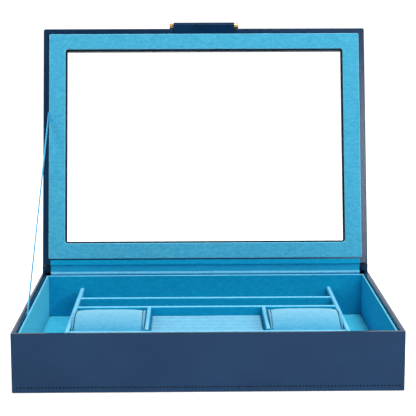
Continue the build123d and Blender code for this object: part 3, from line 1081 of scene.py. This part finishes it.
class JEWELBOX_OT_lid(bpy.types.Operator):
    """Wrap the lid's frame in leatherette, and fit its suede panel and its glass"""

    bl_idname = "jewel_box.lid"
    bl_label = "Lid"

    def execute(self, context):
        self.wrap()
        self.line()
        cover(frame["nodes"]["window_glass"], "float_glass")
        return {"FINISHED"}

    def wrap(self):
        """The skin over the rails, with the glass rebate and the recess for the pull."""
        s = sizes()
        low, high = lid_box("lid_wrap")
        lip_x = high.x - s.window_side - s.window_lip
        lip_rear = s.window_rear + s.window_lip
        lip_front = high.y - s.window_front - s.front_lip
        shelf_x = lip_x + s.window_lip + s.glass_bearing
        shelf_rear = s.window_rear - s.glass_bearing
        shelf_front = high.y - s.window_front + s.glass_bearing
        tab_x = lid_box("pull_tab")[1].x + s.tab_play
        tab_rear = lid_box("lid_lining")[1].y - s.panel_trim - s.tab_play
        skin = block("lid_leather", low, high)
        open_mesh(skin)
        cut(0, -lip_x, lip_x, -shelf_x, shelf_x, -tab_x, tab_x)
        cut(1, lip_rear, lip_front, shelf_rear, shelf_front, tab_rear)
        pierce(lambda face, at: abs(face.normal.z) > 0.9 and abs(at.x) < lip_x
               and lip_rear < at.y < lip_front)
        push(lambda face, at: face.normal.z > 0.9 and abs(at.x) < shelf_x
             and shelf_rear < at.y < shelf_front, (0, 0, -s.rebate_depth))
        push(lambda face, at: face.normal.z > 0.9 and abs(at.x) < tab_x and at.y > tab_rear,
             (0, 0, -s.leather_thickness))
        round_edges(lambda edge, at: along(edge, 2) and abs(at.x) > high.x - MM and at.y > high.y / 2,
                    s.case_corner, 5)
        round_edges(lambda edge, at: sharp(edge) and not along(edge, 2) and level(at.z, low.z, high.z)
                    and (abs(at.x) > high.x - s.case_corner
                         or not low.y + s.case_corner <= at.y <= high.y - s.case_corner)
                    and (abs(at.x) > tab_x or at.y < high.y / 2 or level(at.z, low.z)), s.lid_edge, 4)
        round_edges(lambda edge, at: sharp(edge) and level(at.z, low.z) and abs(at.x) < lip_x + MM
                    and lip_rear - MM < at.y < lip_front + MM, s.leather_edge, 3)
        close_mesh(skin)
        lip = {face.index for face in skin.data.polygons
               if abs(face.center.x) < shelf_x and shelf_rear < face.center.y < shelf_front
               and face.center.z > s.leather_edge}
        place_on_lid(skin)
        # Painted shade: the lid's skin takes the darker copy of the leather, and the lip's faces its matt
        # copy
        dress(skin, "polyurethane_leatherette_taut", "lid", "leatherette", "lid_wrap")
        paint(skin, "polyurethane_leatherette_worn", lambda face, at: face.index in lip)

    def line(self):
        """The suede panel that frames the window."""
        s = sizes()
        low, high = lid_box("lid_lining")
        edge_of_lid = lid_box("lid_wrap")[1]
        window_x = edge_of_lid.x - s.window_side
        front = edge_of_lid.y - s.window_front
        rear = s.window_rear
        high.y -= s.panel_trim
        panel = block("lid_suede", low, high)
        open_mesh(panel)
        cut(0, -window_x, window_x)
        cut(1, rear, front)
        pierce(lambda face, at: abs(face.normal.z) > 0.9 and abs(at.x) < window_x and rear < at.y < front)
        round_edges(lambda edge, at: along(edge, 2) and sharp(edge) and abs(at.x) < high.x - MM,
                    s.window_corner, 5)
        round_edges(lambda edge, at: along(edge, 2) and sharp(edge) and abs(at.x) > high.x - MM,
                    s.panel_corner, 4)
        round_edges(lambda edge, at: sharp(edge) and level(at.z, high.z), s.panel_edge, 4)
        close_mesh(panel, 60)
        # Painted highlight: the panel's rounded edges take the paler copy of the suede
        rounded = {face.index for face in panel.data.polygons if 0.2 < face.normal.z < 0.97}
        place_on_lid(panel)
        # The panel takes the paler copy of the suede: painted light
        dress(panel, "microfibre_suede_brushed", "lid", "suede", "lid_lining")
        paint(panel, "microfibre_suede_folded", lambda face, at: face.index in rounded)


class JEWELBOX_OT_pull(bpy.types.Operator):
    """Fold the pull's leather round its brass bar"""

    bl_idname = "jewel_box.pull"
    bl_label = "Pull"

    def execute(self, context):
        low, high = lid_box("pull_bar")
        self.fold((low + high) / 2)
        self.turn(low, high)
        return {"FINISHED"}

    def fold(self, axis):
        """A strip from the panel's edge, round the bar and down the lid's outer face."""
        low, high = lid_box("pull_tab")
        thickness = sizes().leather_thickness
        inner = high.z - thickness / 2
        outer = low.z + thickness / 2
        side_play = 0.4 * MM
        corner = 3 * MM
        edge_round = 0.25 * MM
        half = high.x - side_play
        rear = lid_box("lid_lining")[1].y - sizes().panel_trim
        strip = primitive("plane", "pull_leather", (2 * half, axis.y - rear, 1), size=1,
                          location=(0, (rear + axis.y) / 2, inner))
        open_mesh(strip)
        pick("EDGE", lambda edge, at: level(at.y, axis.y))
        bpy.ops.mesh.spin(steps=16, angle=math.radians(180), center=axis, axis=(1, 0, 0))
        if not any(vertex.co.y > axis.y + MM for vertex in bmesh.from_edit_mesh(strip.data).verts):
            raise RuntimeError("the pull's leather turned the wrong way round its bar")
        pick("EDGE", lambda edge, at: all(level(vertex.co.z, outer) for vertex in edge.verts))
        extrude((0, low.y - axis.y, 0))
        pick("VERT", lambda vertex, at: level(at.y, low.y))
        bpy.ops.mesh.bevel(offset=corner, segments=5, affect="VERTICES")
        close_mesh(strip)
        modify(strip, "SOLIDIFY", thickness=thickness, offset=0)
        modify(strip, "BEVEL", width=edge_round, segments=2, limit_method="ANGLE",
               angle_limit=math.radians(50))
        smooth(strip, 50)
        place_on_lid(strip)
        # Painted shade: the pull takes the darker, matt copy of the leather
        dress(strip, "polyurethane_leatherette_worn", "lid", "leatherette", "pull_tab")

    def turn(self, low, high):
        """The brass bar, with its ends rounded and a groove turned near each."""
        axis = (low + high) / 2
        end_round = 0.7 * MM
        groove_place = 1.8 * MM
        groove_half = 0.3 * MM
        groove_share = 0.93
        bar = rod("pull_brass", (high.z - low.z) / 2, high.x - low.x, axis, 48)
        open_mesh(bar)
        for side in (-1, 1):
            groove = side * (high.x - groove_place)
            cut(0, groove + side * groove_half, groove - side * groove_half)
            pick("FACE", lambda face, at: abs(face.normal.x) < 0.1 and level(at.x, groove))
            bpy.ops.transform.resize(value=(1, groove_share, groove_share), center_override=axis)
        round_edges(lambda edge, at: sharp(edge) and level(abs(at.x), high.x), end_round, 4)
        close_mesh(bar, 35)
        place_on_lid(bar)
        dress(bar, "polished_brass", "lid", "brass", "pull_bar")


# Cloth that crosses the hinge


def thicken(obj, thickness, angle):
    """Close an open sheet, give it its thickness and smooth it."""
    turn_out()
    modify(obj, "SOLIDIFY", thickness=thickness, offset=0)
    activate(obj)
    bpy.ops.object.shade_smooth_by_angle(angle=math.radians(angle))


def cloth_strip(name, profile, half_width, thickness, crease):
    """A strip of cloth along a profile of Y and Z places, with its creases rounded."""
    parts = 12
    first, second = profile[:2]
    strip = primitive("plane", name, (2 * half_width, 1, 1), size=1, location=(0, *first),
                      rotation=(math.radians(90), 0, 0))
    for vertex in strip.data.vertices:
        vertex.co = (vertex.co.x, *(second if vertex.co.z > first[1] else first))
    open_mesh(strip)
    for before, after in gaps(profile[1:]):
        pick("EDGE", lambda edge, at: level(at.y, before[0]) and level(at.z, before[1]) and along(edge, 0))
        extrude((0, after[0] - before[0], after[1] - before[1]))
    pick("EDGE", lambda edge, at: along(edge, 0) and edge.is_manifold)
    bpy.ops.mesh.bevel(offset=crease, segments=4, affect="EDGES", clamp_overlap=True)
    cut(0, *[half_width * step / parts for step in range(1 - parts, parts)])
    thicken(strip, thickness, 60)
    return strip


class JEWELBOX_OT_hinge(bpy.types.Operator):
    """Hang the lid on its inner cloth and its outer leather"""

    bl_idname = "jewel_box.hinge"
    bl_label = "Hinge cloth"

    def execute(self, context):
        self.inner()
        self.outer()
        return {"FINISHED"}

    def inner(self):
        """The blue cloth over the ledge, up the spine and under the lid's panel."""
        s = sizes()
        cloth = s.spine_cover
        clear = 0.05 * MM
        crease_round = 0.45 * MM
        low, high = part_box("hinge_lining")
        rear_wall = high[1] - cloth / 2 - s.ledge_depth
        roll = rear_wall - s.roll_reach
        ledge = s.rim_height - s.ledge_drop + clear + cloth / 2
        top = ledge + s.roll_rise
        lid_face = 7.25 * MM
        panel_rear = lid_box("lid_lining")[0].y - s.panel_gap
        on_lid = [lid_point(0, clear, lid_face - s.crease), lid_point(0, clear, lid_face),
                  lid_point(0, panel_rear, lid_face)]
        start = (rear_wall, ledge - 0.4 * MM)
        profile = [(rear_wall, low[2]), start, (roll, ledge + 0.6 * MM), (roll, top - 0.5 * MM),
                   (rear_wall + 0.3 * MM, top)]
        profile += [(point.y, point.z) for point in on_lid]
        half_width = high[0] - s.cloth_inset
        strip = cloth_strip("hinge_cloth_inner", profile, half_width, cloth, crease_round)
        dress(strip, "woven_polyester", None, "woven_cloth", "hinge_lining")
        # One cloth in three tones: the part on the lid takes the darker lining suede as painted shade, the
        # roll over the ledge the paler copy as painted highlight, and the rest the cloth's own tone, made
        # paler as painted light against the lid's shade
        paint(strip, "microfibre_suede", lambda face, at: at.z > on_lid[1].z - 0.3 * MM)
        paint(strip, "microfibre_suede_folded", lambda face, at: ledge + 0.5 * MM < at.z < top + 0.4 * MM)
        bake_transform(strip)

    def outer(self):
        """The leather over the spine's top and the lid's outer face."""
        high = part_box("hinge_leather")[1]
        cloth = 0.5 * MM
        half = cloth / 2
        crease = 0.6 * MM
        fold = lid_point(0, half * (1 + math.sin(LEAN)) / math.cos(LEAN), -half)
        leaf = lid_point(0, sizes().hinge_leaf, -half)
        profile = [(high[1], HINGE_Z + half), (fold.y, fold.z), (leaf.y, leaf.z)]
        strip = cloth_strip("hinge_leather_outer", profile, high[0], cloth, crease)
        # Painted shade: the darker copy of the leather, as on the lid
        dress(strip, "polyurethane_leatherette_taut", None, "leatherette", "hinge_leather")
        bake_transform(strip)


class JEWELBOX_OT_ribbon(bpy.types.Operator):
    """Stretch the stay ribbon from the case to the lid"""

    bl_idname = "jewel_box.ribbon"
    bl_label = "Stay ribbon"

    def execute(self, context):
        s = sizes()
        # The ribbon's two ends as the photograph shows them, on the left lining and under the lid's panel
        base = Vector((-160.7, -39.0, 49.5)) * MM
        top = lid_point(*Vector((-158.5, 153.5, 7.05)) * MM)
        run = (top - base).normalized()
        tuck = base - s.ribbon_tuck * run
        stretch = 40 * MM * run
        line = self.read_line([tuck, base + stretch, top - stretch, top])
        ribbon = self.weave(line)
        dress(ribbon, "satin_ribbon", None, "woven_cloth", "stay_ribbon")
        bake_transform(ribbon)
        return {"FINISHED"}

    def read_line(self, route):
        """The points of a smooth spline through a route."""
        curve = bpy.data.curves.new("ribbon_route", "CURVE")
        curve.dimensions = "3D"
        curve.resolution_u = 12
        spline = curve.splines.new("NURBS")
        spline.points.add(len(route) - 1)
        for point, place in zip(spline.points, route):
            point.co = (*place, 1)
        spline.order_u = 3
        spline.use_endpoint_u = True
        holder = link("ribbon_route", curve)
        bpy.context.view_layer.update()
        mesh = bpy.data.meshes.new_from_object(holder)
        line = [vertex.co.copy() for vertex in mesh.vertices]
        bpy.data.objects.remove(holder)
        bpy.data.curves.remove(curve)
        bpy.data.meshes.remove(mesh)
        return line

    def weave(self, line):
        """A flat strip along the line, on edge to the viewer in front."""
        mesh = bpy.data.meshes.new("stay_ribbon_satin")
        run = (line[-1] - line[0]).normalized()
        width = run.cross(Vector((1, 0, 0))).normalized() * sizes().ribbon_width
        mesh.from_pydata([place - width / 2 for place in line], list(gaps(range(len(line)))), [])
        ribbon = link("stay_ribbon_satin", mesh)
        open_mesh(ribbon)
        bpy.ops.mesh.select_all(action="SELECT")
        extrude(width)
        thicken(ribbon, sizes().ribbon_thickness, 40)
        return ribbon


class JEWELBOX_PT_pieces(bpy.types.Panel):
    """Lists the box's pieces and settings"""

    bl_idname = "JEWELBOX_PT_pieces"
    bl_label = "Jewellery box"
    bl_space_type = "VIEW_3D"
    bl_region_type = "UI"
    bl_category = "Jewellery box"

    def draw(self, context):
        for operator in OPERATORS:
            self.layout.operator(operator.bl_idname)
        for name, group in GROUPS:
            for key in group.__annotations__:
                self.layout.prop(getattr(context.scene, name), key)


GROUPS = (
    ("jewel_box_sizes", JewelBoxSizes),
    ("jewel_box_colours", JewelBoxColours),
    ("jewel_box_stage", JewelBoxStage),
)
OPERATORS = (
    JEWELBOX_OT_stage, JEWELBOX_OT_ribbon, JEWELBOX_OT_case, JEWELBOX_OT_linings, JEWELBOX_OT_dividers,
    JEWELBOX_OT_ring_rolls, JEWELBOX_OT_cuffs, JEWELBOX_OT_lid, JEWELBOX_OT_pull, JEWELBOX_OT_hinge,
)


def register():
    """Register the settings, the operators and the panel."""
    for name, group in GROUPS:
        bpy.utils.register_class(group)
        setattr(bpy.types.Scene, name, bpy.props.PointerProperty(type=group))
    for operator in (*OPERATORS, JEWELBOX_PT_pieces):
        bpy.utils.register_class(operator)


def unregister():
    """Remove the panel, the operators and the settings."""
    for operator in (JEWELBOX_PT_pieces, *reversed(OPERATORS)):
        bpy.utils.unregister_class(operator)
    for name, group in reversed(GROUPS):
        delattr(bpy.types.Scene, name)
        bpy.utils.unregister_class(group)


def main():
    """Make every piece in order."""
    register()
    bpy.ops.jewel_box.stage()
    bpy.ops.jewel_box.ribbon()
    bpy.ops.jewel_box.case()
    bpy.ops.jewel_box.linings()
    bpy.ops.jewel_box.dividers()
    bpy.ops.jewel_box.ring_rolls()
    bpy.ops.jewel_box.cuffs()
    bpy.ops.jewel_box.lid()
    bpy.ops.jewel_box.pull()
    bpy.ops.jewel_box.hinge()
    deselect()


if __name__ == "__main__":
    main()
